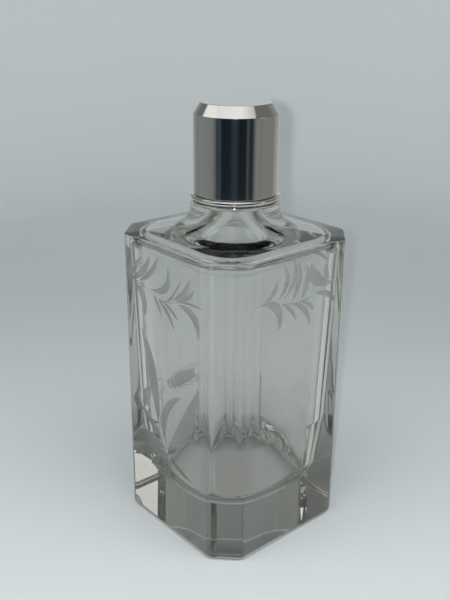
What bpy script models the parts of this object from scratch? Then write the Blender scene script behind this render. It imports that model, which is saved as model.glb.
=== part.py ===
"""Square glass decanter with a silver collar, a ground glass stopper and a pull-off silver cap.

Metres, +Z up. The origin is the middle of the underside, and two of the four flat sides face along X.
"""

import math

import bmesh
import bpy

# Glass body, outside
BODY_WIDTH = 0.0840
CANT_WIDTH = 0.0162
HEEL_ROUND = 0.0025
EDGE_HEIGHT = 0.1484
SHOULDER_RISE = 0.0040
EDGE_ROUND = 0.0012
FLARE_ROUND = 0.0110
LEDGE_HEIGHT = 0.1633

# Glass body, inside
WALL_TOP = 0.0052
WALL_FOOT = 0.0085
SHOULDER_WALL = 0.0026
BASE_THICKNESS = 0.0210
CAVITY_CORNER_ROUND = 0.0170
CEILING_ROUND = 0.0040
FLOOR_RISE = 0.0340
FLOOR_BLEND_ROUND = 0.0110
FLOOR_CORNER_ROUND = 0.0330
FLOOR_ROUND = 0.0120
THROAT_ROUND = 0.0182

# Neck above the ledge, and its ground seat for the stopper
NECK_UPSTAND = 0.0174
NECK_WALL = 0.0066
SEAT_LENGTH = 0.0165
SEAT_TAPER = 0.0009

# Clearance between pieces that touch or slide on the real object
FIT = 0.0003

# Silver collar on the neck
COLLAR_WALL = 0.0007
COLLAR_LIP_WIDTH = 0.0045
BEAD_HEIGHT = 0.0024
BEAD_PROUD = 0.0014
CEMENT_WALL = 0.0010

# Glass stopper
STOPPER_STEM = 0.0030
KNOB_RADIUS = 0.0122
KNOB_HEIGHT = 0.0100
KNOB_ROUND = 0.0025
PLUG_ROUND = 0.0008

# Silver cap
CAP_RADIUS = 0.01945
CAP_HEIGHT = 0.0408
CAP_WALL = 0.00075
CHAMFER_WIDTH = 0.0032
CHAMFER_HEIGHT = 0.0050
SLEEVE_WALL = 0.0006
SLEEVE_HEIGHT = 0.0150
SLEEVE_INSET = 0.0008
CORK_THICKNESS = 0.0040

# Counts
FLAT_STEPS = 9
CANT_STEPS = 3
SIDES = 4
TURN_STEPS = 48
ARC_STEPS = 4
FLARE_STEPS = 6

# The most of a straight run that one rounding may take, where it shares the run with another or has it alone
ROUND_LIMIT_SHARE = 0.48
FREE_LIMIT_SHARE = 0.98

# The angle that shading shows as an edge
SHARP_DEG = 35.0


def material(name, colour, roughness, metallic=0.0, transmission=0.0, alpha=1.0):
    """A plain surface with the piece's colour and gloss."""
    made = bpy.data.materials.new(name)
    made.use_nodes = True
    shader = made.node_tree.nodes["Principled BSDF"]
    shader.inputs["Base Color"].default_value = (*colour, 1.0)
    shader.inputs["Roughness"].default_value = roughness
    shader.inputs["Metallic"].default_value = metallic
    shader.inputs["Transmission Weight"].default_value = transmission
    shader.inputs["Alpha"].default_value = alpha
    return made


def glass(name):
    return material(name, (0.93, 0.95, 0.94), 0.02, transmission=1.0)


def silver(name):
    return material(name, (0.86, 0.85, 0.83), 0.10, metallic=1.0)


def rounded_profile(corners, first=0, last=0):
    """Points through corners (radius, height, rounding, steps), leaving out ends that only give direction."""
    points = []
    end = len(corners) - last
    for index in range(first, end):
        radius, height, rounding, steps = corners[index]
        if not steps:
            points.append((radius, height))
            continue
        before, after = corners[index - 1], corners[index + 1]
        run_in = math.hypot(before[0] - radius, before[1] - height)
        run_out = math.hypot(after[0] - radius, after[1] - height)
        way_in = ((before[0] - radius) / run_in, (before[1] - height) / run_in)
        way_out = ((after[0] - radius) / run_out, (after[1] - height) / run_out)
        cosine = way_in[0] * way_out[0] + way_in[1] * way_out[1]
        half = math.acos(max(-1.0, min(1.0, cosine))) / 2
        room_in = run_in * (ROUND_LIMIT_SHARE if before[3] else FREE_LIMIT_SHARE)
        room_out = run_out * (ROUND_LIMIT_SHARE if after[3] else FREE_LIMIT_SHARE)
        tangent = min(rounding / math.tan(half), room_in, room_out)
        reach = tangent / math.cos(half)
        arc = tangent * math.tan(half)
        middle = (way_in[0] + way_out[0], way_in[1] + way_out[1])
        size = math.hypot(*middle)
        centre = (radius + middle[0] / size * reach, height + middle[1] / size * reach)
        start = (radius + way_in[0] * tangent - centre[0], height + way_in[1] * tangent - centre[1])
        stop = (radius + way_out[0] * tangent - centre[0], height + way_out[1] * tangent - centre[1])
        from_angle = math.atan2(start[1], start[0])
        sweep = math.remainder(math.atan2(stop[1], stop[0]) - from_angle, math.tau)
        for step in range(steps + 1):
            angle = from_angle + sweep * step / steps
            points.append((centre[0] + arc * math.cos(angle), centre[1] + arc * math.sin(angle)))
    return points


def finish(name, bm, surface):
    """Put a closed mesh in the scene as one named piece, shaded smooth with crisp edges."""
    bmesh.ops.recalc_face_normals(bm, faces=bm.faces)
    mesh = bpy.data.meshes.new(name)
    bm.to_mesh(mesh)
    bm.free()
    mesh.shade_smooth()
    mesh.set_sharp_from_angle(angle=math.radians(SHARP_DEG))
    mesh.materials.append(surface)
    piece = bpy.data.objects.new(name, mesh)
    bpy.context.scene.collection.objects.link(piece)
    return piece


def turned(name, corners, surface, first=0, last=0):
    """A ring or a solid turned about +Z from its outline, which meets the axis where an end is left out."""
    points = rounded_profile(corners, first, last)
    bm = bmesh.new()
    verts = [bm.verts.new((radius, 0.0, height)) for radius, height in points]
    edges = [bm.edges.new(pair) for pair in zip(verts, verts[1:])]
    if not first and not last:
        edges.append(bm.edges.new((verts[-1], verts[0])))
    bmesh.ops.spin(
        bm,
        geom=verts + edges,
        cent=(0, 0, 0),
        axis=(0, 0, 1),
        angle=math.tau,
        steps=TURN_STEPS,
        use_merge=True,
    )
    open_edges = [edge for edge in bm.edges if edge.is_boundary]
    if open_edges:
        bmesh.ops.holes_fill(bm, edges=open_edges, sides=TURN_STEPS)
    return finish(name, bm, surface)


def bead_radius():
    return CAP_RADIUS + BEAD_PROUD


def cap_inside():
    return CAP_RADIUS - CAP_WALL


def sleeve_inside():
    return cap_inside() - FIT - SLEEVE_WALL


def collar_outside():
    return sleeve_inside() - FIT


def collar_inside():
    return collar_outside() - COLLAR_WALL


def neck_outside():
    """Radius of the glass above the ledge, inside the cement."""
    return collar_inside() - FIT - CEMENT_WALL - FIT


def mouth_radius():
    return neck_outside() - NECK_WALL


def bore_radius():
    """Radius below the ground seat, which narrows downwards."""
    return mouth_radius() - SEAT_TAPER


def lip_height():
    return LEDGE_HEIGHT + NECK_UPSTAND


def bead_foot():
    """Underside of the bead, on the collar's turned-out foot."""
    return LEDGE_HEIGHT + FIT + COLLAR_WALL + FIT


def cap_foot():
    return bead_foot() + BEAD_HEIGHT + FIT


def ceiling_height():
    """Level top of the cavity, under the shoulder."""
    return EDGE_HEIGHT - SHOULDER_WALL


def corner_angle():
    """Angle from the middle of a flat side to the edge of the canted corner."""
    half = BODY_WIDTH / 2
    return math.atan2(half - CANT_WIDTH / math.sqrt(2), half)


def outside_reach(angle):
    """Distance from the axis to the square outline with canted corners, at an angle."""
    local = abs(math.remainder(angle, math.tau / SIDES))
    half = BODY_WIDTH / 2
    if local <= corner_angle():
        return half / math.cos(local)
    return (half * math.sqrt(2) - CANT_WIDTH / 2) / math.cos(math.pi / SIDES - local)


def cavity_reach(angle, half, rounding):
    """Distance from the axis to a square outline with rounded corners, at an angle."""
    local = abs(math.remainder(angle, math.tau / SIDES))
    reach = half / math.cos(local)
    straight = half - rounding
    if reach * math.sin(local) <= straight:
        return reach
    ahead = straight * (math.cos(local) + math.sin(local))
    return ahead + math.sqrt(ahead**2 - 2 * straight**2 + rounding**2)


def column_angles():
    """Angles round the body, with one on each edge of its canted corners."""
    edge = corner_angle()
    angles = []
    for side in range(SIDES):
        middle = math.tau / SIDES * side
        angles += [middle - edge + 2 * edge * step / FLAT_STEPS for step in range(FLAT_STEPS)]
        gap = math.tau / SIDES - 2 * edge
        angles += [middle + edge + gap * step / CANT_STEPS for step in range(CANT_STEPS)]
    return angles


def body_profile(angle):
    """Outside, mouth, bore and inside of the glass in one half plane, from underside to cavity floor."""
    outside = outside_reach(angle)
    inside_top = cavity_reach(angle, BODY_WIDTH / 2 - WALL_TOP, CAVITY_CORNER_ROUND)
    inside_foot = cavity_reach(angle, BODY_WIDTH / 2 - WALL_FOOT, CAVITY_CORNER_ROUND)
    floor = cavity_reach(angle, BODY_WIDTH / 2 - WALL_FOOT, FLOOR_CORNER_ROUND)
    neck = bead_radius()
    bore = bore_radius()
    corners = [
        (0, 0, 0, 0),
        (outside, 0, HEEL_ROUND, ARC_STEPS),
        (outside, EDGE_HEIGHT, EDGE_ROUND, ARC_STEPS),
        (neck, EDGE_HEIGHT + SHOULDER_RISE, FLARE_ROUND, FLARE_STEPS),
        (neck, LEDGE_HEIGHT, 0, 0),
        (neck_outside(), LEDGE_HEIGHT, 0, 0),
        (neck_outside(), lip_height(), 0, 0),
        (mouth_radius(), lip_height(), 0, 0),
        (bore, lip_height() - SEAT_LENGTH, 0, 0),
        (bore, ceiling_height(), THROAT_ROUND, FLARE_STEPS),
        (inside_top, ceiling_height(), CEILING_ROUND, ARC_STEPS),
        (inside_foot, BASE_THICKNESS + FLOOR_RISE, FLOOR_BLEND_ROUND, ARC_STEPS),
        (floor, BASE_THICKNESS, FLOOR_ROUND, ARC_STEPS),
        (0, BASE_THICKNESS, 0, 0),
    ]
    return rounded_profile(corners, first=1, last=1)


def build_glass_body():
    """Thick-based square bottle, open at the mouth, skinned ring by ring from its half-plane outlines."""
    angles = column_angles()
    columns = [body_profile(angle) for angle in angles]
    bm = bmesh.new()

    def places(station):
        for angle, column in zip(angles, columns):
            radius, height = column[station]
            yield (radius * math.cos(angle), radius * math.sin(angle), height)

    ring = [bm.verts.new(place) for place in places(0)]
    edges = [bm.edges.new((ring[i - 1], ring[i])) for i in range(len(ring))]
    bm.faces.new(ring)
    for station in range(1, len(columns[0])):
        made = bmesh.ops.extrude_edge_only(bm, edges=edges)["geom"]
        edges = [item for item in made if isinstance(item, bmesh.types.BMEdge) and item.is_boundary]
        following = {}
        for vert in ring:
            for edge in vert.link_edges:
                other = edge.other_vert(vert)
                if other not in ring and other in made:
                    following[vert] = other
        ring = [following[vert] for vert in ring]
        for vert, place in zip(ring, places(station)):
            vert.co = place
    bm.faces.new(ring)
    return finish("glass_body", bm, glass("body_glass"))


def build_neck_cement():
    """Ring of plaster that fixes the collar to the neck."""
    inside = neck_outside() + FIT
    outside = inside + CEMENT_WALL
    foot = LEDGE_HEIGHT + FIT
    return turned(
        "neck_cement",
        [
            (outside, lip_height(), 0, 0),
            (outside, foot, 0, 0),
            (inside, foot, 0, 0),
            (inside, lip_height(), 0, 0),
        ],
        material("plaster", (0.84, 0.82, 0.76), 0.9),
    )


def build_collar():
    """Silver tube round the neck, turned in over the lip and turned out over the ledge."""
    foot = LEDGE_HEIGHT + FIT
    top = lip_height() + FIT + COLLAR_WALL
    lip = neck_outside() - COLLAR_LIP_WIDTH
    return turned(
        "neck_collar",
        [
            (lip, top, 0, 0),
            (collar_outside(), top, COLLAR_WALL, ARC_STEPS),
            (collar_outside(), foot + COLLAR_WALL, 0, 0),
            (bead_radius() - FIT, foot + COLLAR_WALL, 0, 0),
            (bead_radius() - FIT, foot, 0, 0),
            (collar_inside(), foot, 0, 0),
            (collar_inside(), top - COLLAR_WALL, 0, 0),
            (lip, top - COLLAR_WALL, 0, 0),
        ],
        silver("collar_silver"),
    )


def build_bead():
    """Rounded ring on the collar's foot, which the cap closes on."""
    inside = collar_outside() + FIT
    outside = bead_radius()
    top = bead_foot() + BEAD_HEIGHT
    return turned(
        "collar_bead",
        [
            (inside, top, 0, 0),
            (outside, top, BEAD_HEIGHT / 2, ARC_STEPS),
            (outside, bead_foot(), BEAD_HEIGHT / 2, ARC_STEPS),
            (inside, bead_foot(), 0, 0),
        ],
        silver("bead_silver"),
    )


def build_stopper():
    """Glass plug ground to the neck's seat, with a round knob that the cap goes over."""
    foot = lip_height() - SEAT_LENGTH + FIT
    plug_top = mouth_radius() - FIT
    plug_foot = bore_radius() - FIT
    knob_foot = lip_height() + FIT + COLLAR_WALL + STOPPER_STEM
    top = knob_foot + KNOB_HEIGHT
    return turned(
        "glass_stopper",
        [
            (0, foot, 0, 0),
            (plug_foot, foot, PLUG_ROUND, ARC_STEPS),
            (plug_top, lip_height(), 0, 0),
            (plug_top, knob_foot, 0, 0),
            (KNOB_RADIUS, knob_foot, KNOB_ROUND, ARC_STEPS),
            (KNOB_RADIUS, top, KNOB_ROUND, ARC_STEPS),
            (0, top, 0, 0),
        ],
        glass("stopper_glass"),
        first=1,
        last=1,
    )


def crown_foot():
    """Where the cap's straight wall ends and its chamfered crown begins."""
    return cap_foot() + CAP_HEIGHT - CHAMFER_HEIGHT


def build_cap_wall():
    """Plain silver tube of the cap."""
    top = crown_foot() - FIT
    return turned(
        "cap_wall",
        [
            (CAP_RADIUS, top, 0, 0),
            (CAP_RADIUS, cap_foot(), 0, 0),
            (cap_inside(), cap_foot(), 0, 0),
            (cap_inside(), top, 0, 0),
        ],
        silver("cap_silver"),
    )


def build_cap_crown():
    """Chamfered silver top, soldered on the wall, hollow underneath."""
    top = cap_foot() + CAP_HEIGHT
    flat = CAP_RADIUS - CHAMFER_WIDTH
    return turned(
        "cap_crown",
        [
            (0, top, 0, 0),
            (flat, top, 0, 0),
            (CAP_RADIUS, crown_foot(), 0, 0),
            (cap_inside(), crown_foot(), 0, 0),
            (flat - CAP_WALL / 2, top - CAP_WALL, 0, 0),
            (0, top - CAP_WALL, 0, 0),
        ],
        silver("crown_silver"),
        first=1,
        last=1,
    )


def build_cap_sleeve():
    """Gilt sleeve inside the cap, which slides over the collar."""
    outside = cap_inside() - FIT
    foot = cap_foot() + SLEEVE_INSET
    top = foot + SLEEVE_HEIGHT
    return turned(
        "cap_sleeve",
        [
            (outside, top, 0, 0),
            (outside, foot, 0, 0),
            (sleeve_inside(), foot, 0, 0),
            (sleeve_inside(), top, 0, 0),
        ],
        material("gilt", (0.83, 0.66, 0.36), 0.25, metallic=1.0),
    )


def build_cap_cork():
    """Cork disc held up in the crown."""
    top = cap_foot() + CAP_HEIGHT - CAP_WALL - FIT
    foot = top - CORK_THICKNESS
    outside = CAP_RADIUS - CHAMFER_WIDTH - CAP_WALL
    return turned(
        "cap_cork",
        [
            (0, top, 0, 0),
            (outside, top, 0, 0),
            (outside, foot, 0, 0),
            (0, foot, 0, 0),
        ],
        material("cork", (0.62, 0.45, 0.28), 0.85),
        first=1,
        last=1,
    )


def main():
    for old in list(bpy.data.objects):
        bpy.data.objects.remove(old, do_unlink=True)
    build_glass_body()
    build_neck_cement()
    build_collar()
    build_bead()
    build_stopper()
    build_cap_wall()
    build_cap_crown()
    build_cap_sleeve()
    build_cap_cork()


main()
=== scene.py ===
"""Looks of a square glass decanter with engraved sprays, a silver collar and a pull-off silver cap."""

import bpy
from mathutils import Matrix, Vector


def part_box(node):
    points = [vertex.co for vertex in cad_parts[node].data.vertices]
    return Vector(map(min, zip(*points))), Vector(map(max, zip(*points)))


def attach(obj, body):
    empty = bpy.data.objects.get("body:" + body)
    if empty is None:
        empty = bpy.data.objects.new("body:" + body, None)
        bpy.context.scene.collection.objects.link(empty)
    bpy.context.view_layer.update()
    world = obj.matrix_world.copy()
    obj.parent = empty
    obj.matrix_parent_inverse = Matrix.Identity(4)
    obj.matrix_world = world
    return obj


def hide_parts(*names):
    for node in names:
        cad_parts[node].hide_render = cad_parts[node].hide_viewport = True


bl_info = {
    "name": "Engraved Decanter",
    "version": (1, 0, 0),
    "blender": (4, 5, 0),
    "location": "View3D > Sidebar > Decanter",
    "description": "Models an engraved square glass decanter with silver fittings, piece by piece",
    "category": "Add Mesh",
}

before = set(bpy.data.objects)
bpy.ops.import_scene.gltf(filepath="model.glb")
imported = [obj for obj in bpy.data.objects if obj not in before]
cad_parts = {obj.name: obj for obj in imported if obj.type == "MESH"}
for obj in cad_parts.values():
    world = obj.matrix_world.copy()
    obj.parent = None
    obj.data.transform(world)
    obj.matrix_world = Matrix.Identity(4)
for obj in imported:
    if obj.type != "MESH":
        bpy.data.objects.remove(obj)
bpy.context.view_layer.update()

import math

import bmesh
import bpy
from bpy.props import FloatProperty, FloatVectorProperty, PointerProperty
from mathutils import Matrix, Vector

SIDES = 4
QUARTER = math.tau / SIDES
MM = 0.001
FIT = 0.3 * MM
TURN_STEPS = 160
MATTING = "matting"


# Sizes read from the frame

boxes = {node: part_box(node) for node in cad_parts}


def frame_radius(node):
    return boxes[node][1].x


def frame_foot(node):
    return boxes[node][0].z


def frame_top(node):
    return boxes[node][1].z


# Settings

def length(name, description, default):
    return FloatProperty(
        name=name, description=description, default=default, subtype="DISTANCE", unit="LENGTH", precision=5
    )


def colour(name, description, default):
    return FloatVectorProperty(
        name=name, description=description, default=default, subtype="COLOR", size=3, min=0.0, max=1.0
    )


def degrees(name, description, default):
    return FloatProperty(name=name, description=description, default=math.radians(default), subtype="ANGLE")


def factor(name, description, default):
    return FloatProperty(
        name=name, description=description, default=default, subtype="FACTOR", min=0.0, max=1.0
    )


def number(name, description, default, unit="NONE"):
    return FloatProperty(name=name, description=description, default=default, unit=unit)


class BottleSettings(bpy.types.PropertyGroup):
    """Sizes and tint of the glass bottle"""

    cant_width: length("Cant width", "Width of the flat canted corners", 0.0162)
    cant_round: length("Cant edge", "Rounding of the upright edges", 0.0040)
    heel_round: length("Heel", "Rounding round the underside", 0.0025)
    edge_height: length("Edge height", "Height of the shoulder edge, before its rounding", 0.1484)
    shoulder_rise: length("Shoulder rise", "How much the shoulder climbs from its edge to the neck", 0.0040)
    edge_round: length("Edge rounding", "Rounding of the shoulder edge", 0.0012)
    flare_round: length("Flare", "Sweep from the shoulder into the neck", 0.0110)
    ledge_height: length("Ledge height", "Where the collar stands on the glass", 0.1633)
    wall_top: length("Wall at the top", "Thickness of the sides under the shoulder", 0.0052)
    wall_foot: length("Wall at the foot", "Thickness of the sides at the cavity floor", 0.0085)
    ceiling_height: length("Ceiling height", "Height of the cavity's ceiling above the underside", 0.1458)
    base_thickness: length("Base thickness", "Solid glass under the cavity", 0.0210)
    ceiling_round: length("Ceiling rounding", "Rounding of the cavity under the shoulder", 0.0040)
    floor_round: length("Floor rounding", "Rounding of the cavity at its floor", 0.0120)
    floor_corner: length("Floor corner", "Rounding of the cavity's corners at its floor", 0.0330)
    floor_rise: length("Floor rise", "Height over which the cavity's corners open out", 0.0340)
    throat_round: length("Throat rounding", "Sweep from the cavity into the bore", 0.0182)
    cavity_corner: length("Cavity corner", "Rounding of the cavity's upright corners", 0.0170)
    bore_radius: length("Bore", "Radius of the neck below the seat", 0.0077)
    neck_wall: length("Neck wall", "Glass round the mouth", 0.0066)
    seat_length: length("Seat length", "Depth of the ground seat", 0.0165)
    cement_wall: length("Cement wall", "Thickness of the plaster between neck and collar", 0.0010)
    tint: colour("Tint", "Colour of the glass", (0.965, 0.97, 0.955))
    matt_tint: colour("Matt tint", "Colour of the matted glass", (0.86, 0.86, 0.84))
    matting: factor("Matting", "How rough the matted glass is", 0.6)
    # Painted shade: a band that darkens the colour of the upper glass, standing in for shade seen through it
    painted_shade: factor("Film", "How much light a faint film on each side of the upper glass holds back", 0.01)
    depth_tone: colour("Depth tone", "Colour that thick glass takes on", (0.41, 0.395, 0.31))
    depth_density: number("Depth density", "How fast thick glass takes that colour on", 8.2)


class EngravingSettings(bpy.types.PropertyGroup):
    """Cuts of the engraved sprays"""

    depth: length("Depth", "Depth of the broadest leaves", 0.00025)
    stem: length("Stem", "Breadth of a stem", 0.0006)
    awn: length("Awn", "Breadth of a bristle on the ear", 0.0004)


class MetalSettings(bpy.types.PropertyGroup):
    """Sizes and colours of the silver and the gilt"""

    cap_wall: length("Cap wall", "Thickness of the cap's silver", 0.00075)
    chamfer_width: length("Chamfer", "Width of the cap's chamfer", 0.0032)
    edge_round: length("Edge rounding", "Rounding of the cap's edges", 0.0005)
    collar_wall: length("Collar wall", "Thickness of the collar's silver", 0.0007)
    collar_lip: length("Collar lip", "How far the collar turns in over the mouth", 0.0045)
    sleeve_wall: length("Sleeve wall", "Thickness of the gilt sleeve", 0.0006)
    silver: colour("Silver", "Colour of the silver", (0.90, 0.89, 0.87))
    gilt: colour("Gilt", "Colour of the gilding", (0.86, 0.66, 0.34))


class StopperSettings(bpy.types.PropertyGroup):
    """Sizes of the glass stopper"""

    plug_round: length("Plug rounding", "Rounding of the plug's foot", 0.0008)
    waist: length("Waist", "How much slimmer the stopper is between its plug and its knob", 0.0012)
    knob_gap: length("Knob gap", "Air between the collar and the knob", 0.0030)
    knob_round: length("Knob rounding", "Rounding of the knob's edges", 0.0025)


class StageSettings(bpy.types.PropertyGroup):
    """Camera, floor and lights"""

    camera_azimuth: degrees("Azimuth", "Camera's place round the decanter", 48.4)
    camera_distance: length("Distance", "Camera's distance from the axis", 0.3686)
    camera_height: length("Height", "Camera's height above the floor", 0.2550)
    camera_pitch: degrees("Pitch", "How far the camera looks down", 21.008)
    camera_pan: degrees("Pan", "How far the camera looks aside", -0.691)
    camera_roll: degrees("Roll", "Tilt of the picture", 0.389)
    focal_length: number("Focal length", "Lens in millimetres", 48.74, "CAMERA")
    flash_offset: length("Flash offset", "How far the flash is left of the lens", 0.0095)
    flash_rise: length("Flash rise", "How far the flash is above the lens", 0.0020)
    flash_radius: length("Flash size", "Radius of the flash", 0.0030)
    flash_power: number("Flash", "Power of the flash in watts", 8.4, "POWER")
    ceiling_power: number("Ceiling light", "Power of the ceiling light in watts", 4.9, "POWER")
    ceiling_height: length("Light height", "Height of the ceiling light above the floor", 0.85)
    ceiling_ahead: length("Light place", "From the axis to the ceiling light, towards the camera", 0.28)
    ceiling_width: length("Light width", "How broad the ceiling light is", 1.1)
    ceiling_depth: length("Light depth", "How deep the ceiling light is", 0.5)
    card_margin: length("Card margin", "How far its mirrored card reaches beyond it and below it", 0.01)
    card_glow: factor("Card glow", "How bright the mirrored card is", 0.86)
    surround_distance: length("Surround distance", "From the axis to the mirrored surround", 0.60)
    surround_spread: degrees("Surround spread", "How far round the mirrored surround goes", 320.0)
    ambient: number("Ambient", "Strength of the light from all round", 0.405)
    ambient_tone: colour("Ambient tone", "Colour of the light from all round", (0.40, 0.43, 0.43))
    backdrop_radius: length("Backdrop radius", "Distance from the axis to the backdrop", 0.95)
    backdrop_sweep: length("Backdrop sweep", "Rounding between the floor and the backdrop", 0.35)
    backdrop_height: length("Backdrop height", "Height of the backdrop", 1.3)
    floor_gap: length("Floor gap", "Air between the floor and the underside", 0.0002)
    # Painted light: the paper glows under the decanter, standing in for light that the glass gathers there
    pool_radius: length("Pool radius", "Radius of the light that the glass gathers under itself", 0.0400)
    pool_glow: factor("Pool glow", "How bright the light under the glass is", 0.18)
    # Painted shadow on the floor just behind the decanter
    shade_distance: length("Shade distance", "Middle of the shade on the floor, beyond the axis", 0.0450)
    shade_radius: length("Shade radius", "How far the shade on the floor spreads", 0.0300)
    shade_depth: factor("Shade depth", "How dark the shade on the floor is", 0.45)


def bottle_settings():
    return bpy.context.scene.decanter_bottle


def metal_settings():
    return bpy.context.scene.decanter_metal


def stage_settings():
    return bpy.context.scene.decanter_stage


# Shader maths

def math_node(operation, reflected=False):
    """A method that combines a value with another value or number in a Math node."""

    def combine(value, other):
        first, second = (other, value) if reflected else (value, other)
        node = value.finish.add("ShaderNodeMath", {"operation": operation}, {0: first, 1: second})
        return Value(value.finish, node.outputs[0])

    return combine


class Value:
    """A shader output that Python's operators combine by adding Math nodes."""

    def __init__(self, finish, socket):
        self.finish = finish
        self.socket = socket

    __add__ = math_node("ADD")
    __radd__ = math_node("ADD", reflected=True)
    __sub__ = math_node("SUBTRACT")
    __rsub__ = math_node("SUBTRACT", reflected=True)
    __mul__ = math_node("MULTIPLY")
    __rmul__ = math_node("MULTIPLY", reflected=True)
    __truediv__ = math_node("DIVIDE")
    __rtruediv__ = math_node("DIVIDE", reflected=True)
    __pow__ = math_node("POWER")
    __gt__ = math_node("GREATER_THAN")
    angle_to = math_node("ARCTAN2")


class Finish:
    """One procedural material and the nodes in it."""

    def __init__(self, name):
        self.material = bpy.data.materials.new(name)
        self.material.use_nodes = True
        self.tree = self.material.node_tree
        self.shader = self.tree.nodes["Principled BSDF"]

    def add(self, kind, setup, sockets):
        """Make a node, set it up, then fill or link its inputs."""
        node = self.tree.nodes.new(kind)
        for key, value in setup.items():
            if key == "stops":
                self.set_stops(node.color_ramp, value)
            else:
                setattr(node, key, value)
        self.fill(node, sockets)
        return node

    def set_stops(self, ramp, stops):
        while len(ramp.elements) < len(stops):
            ramp.elements.new(1.0)
        for element, (position, tone) in zip(ramp.elements, stops):
            element.position = position
            element.color = (*tone, 1.0)

    def fill(self, node, sockets):
        for key, value in sockets.items():
            if isinstance(value, Value):
                self.tree.links.new(value.socket, node.inputs[key])
            else:
                node.inputs[key].default_value = value

    def out(self, node, name):
        return Value(self, node.outputs[name])

    def place(self, scale=(1.0, 1.0, 1.0), turn=0.0):
        """Object coordinates, stretched along each axis and turned about +Z."""
        source = self.add("ShaderNodeTexCoord", {}, {})
        sockets = {"Vector": self.out(source, "Object"), "Scale": scale, "Rotation": (0.0, 0.0, turn)}
        return self.out(self.add("ShaderNodeMapping", {}, sockets), "Vector")

    def parts(self, vector):
        node = self.add("ShaderNodeSeparateXYZ", {}, {"Vector": vector})
        return [Value(self, output) for output in node.outputs]

    def attribute(self, name):
        return self.out(self.add("ShaderNodeAttribute", {"attribute_name": name}, {}), "Fac")

    def noise(self, place, scale, detail=2.0, roughness=0.5):
        sockets = {"Vector": place, "Scale": scale, "Detail": detail, "Roughness": roughness}
        return self.out(self.add("ShaderNodeTexNoise", {}, sockets), "Fac")

    def cells(self, place, scale):
        node = self.add("ShaderNodeTexVoronoi", {"feature": "F1"}, {"Vector": place, "Scale": scale})
        return self.out(node, "Distance")

    def ramp(self, value, stops):
        return self.out(self.add("ShaderNodeValToRGB", {"stops": stops}, {"Fac": value}), "Color")

    def mix(self, share, first, second):
        sockets = {"Factor": share, 6: first, 7: second}
        return Value(self, self.add("ShaderNodeMix", {"data_type": "RGBA"}, sockets).outputs[2])

    def multiply(self, first, second):
        sockets = {"Factor": 1.0, 6: first, 7: second}
        node = self.add("ShaderNodeMix", {"data_type": "RGBA", "blend_type": "MULTIPLY"}, sockets)
        return Value(self, node.outputs[2])

    def grey(self, level):
        sockets = {"Red": level, "Green": level, "Blue": level}
        return self.out(self.add("ShaderNodeCombineColor", {}, sockets), "Color")

    def bump(self, height, distance, strength=1.0):
        node = self.add("ShaderNodeBump", {}, {"Height": height, "Distance": distance, "Strength": strength})
        return self.out(node, "Normal")

    def surface(self, **sockets):
        """Fill the shader's own sockets, with underscores for spaces in their names."""
        self.fill(self.shader, {key.replace("_", " "): value for key, value in sockets.items()})
        return self.material

    def absorb(self, tone, density):
        """Dim light by the length of its way through the solid."""
        node = self.add("ShaderNodeVolumeAbsorption", {}, {"Color": tone, "Density": density})
        output = self.tree.nodes["Material Output"]
        self.tree.links.new(node.outputs["Volume"], output.inputs["Volume"])

    def glow(self, tone, strength=1.0):
        """Give light of its own in place of a surface."""
        lamp = self.add("ShaderNodeEmission", {}, {"Color": tone, "Strength": strength})
        output = self.tree.nodes["Material Output"]
        self.tree.links.new(lamp.outputs["Emission"], output.inputs["Surface"])
        return self.material


def opaque(tone, share=1.0):
    return (*(part * share for part in tone), 1.0)


def greys(stops):
    return [(position, (level, level, level)) for position, level in stops]


# Finishes

FINE_RELIEF = 0.02 * MM
CORK_RELIEF = 0.25 * MM
PLASTER_RELIEF = 0.2 * MM
CORK_TONES = [(0.0, (0.30, 0.17, 0.08)), (0.35, (0.52, 0.34, 0.18)), (1.0, (0.63, 0.44, 0.25))]
CORK_PORE_TONE = (0.14, 0.07, 0.03)
PLASTER_TONES = [(0.82, 0.79, 0.71), (0.68, 0.63, 0.54)]
# Painted shade: near-black tones for the plaster behind the cemented glass, in shade inside the collar
PAINTED_SHADE_CEMENT_TONES = [(0.075, 0.072, 0.050), (0.050, 0.050, 0.036)]

# Where the painted shade on the upper glass begins, is full, begins to thin and ends, as shares of the
# ceiling's height
PAINTED_SHADE_SHARES = (0.28, 0.5, 0.93, 1.0)


def bottle_glass(name):
    """Polished glass, dull where a wheel or a grinding paste has matted it."""
    finish = Finish(name)
    bottle = bottle_settings()
    place = finish.place()
    smear = finish.noise(place, 60.0, 4.0)
    wear = finish.noise(place, 1500.0, 3.0)
    matt = finish.attribute(MATTING)
    finish.absorb(opaque(bottle.depth_tone), bottle.depth_density)
    # Painted shade: the glass's colour is dimmed in a band below the shoulder
    height = finish.parts(place)[2] / bottle.ceiling_height
    shaded_level = 1.0 - bottle.painted_shade
    painted_shade = finish.ramp(height, greys(zip(PAINTED_SHADE_SHARES, (1.0, shaded_level, shaded_level, 1.0))))
    polished = finish.multiply(finish.mix(smear, opaque(bottle.tint), opaque(bottle.tint, 0.99)), painted_shade)
    dulled = finish.mix(wear, opaque(bottle.matt_tint), opaque(bottle.matt_tint, 0.93))
    return finish.surface(
        Base_Color=finish.mix(matt, polished, dulled),
        Roughness=smear * 0.004 + matt * (wear * 0.4 + 0.8) * bottle.matting,
        IOR=1.52,
        Transmission_Weight=1.0,
        Normal=finish.bump(finish.noise(place, 25.0) + matt * wear * 0.6, FINE_RELIEF),
    )


def cemented_glass():
    """Glass whose far side is stuck to plaster, painted dark as the plaster in the collar's shade, and
    mirroring nothing.
    """
    finish = Finish("cemented_glass")
    stain = finish.noise(finish.place(), 150.0, 3.0)
    return finish.surface(
        Base_Color=finish.mix(stain, *map(opaque, PAINTED_SHADE_CEMENT_TONES)),
        Roughness=0.6,
    )


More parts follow.
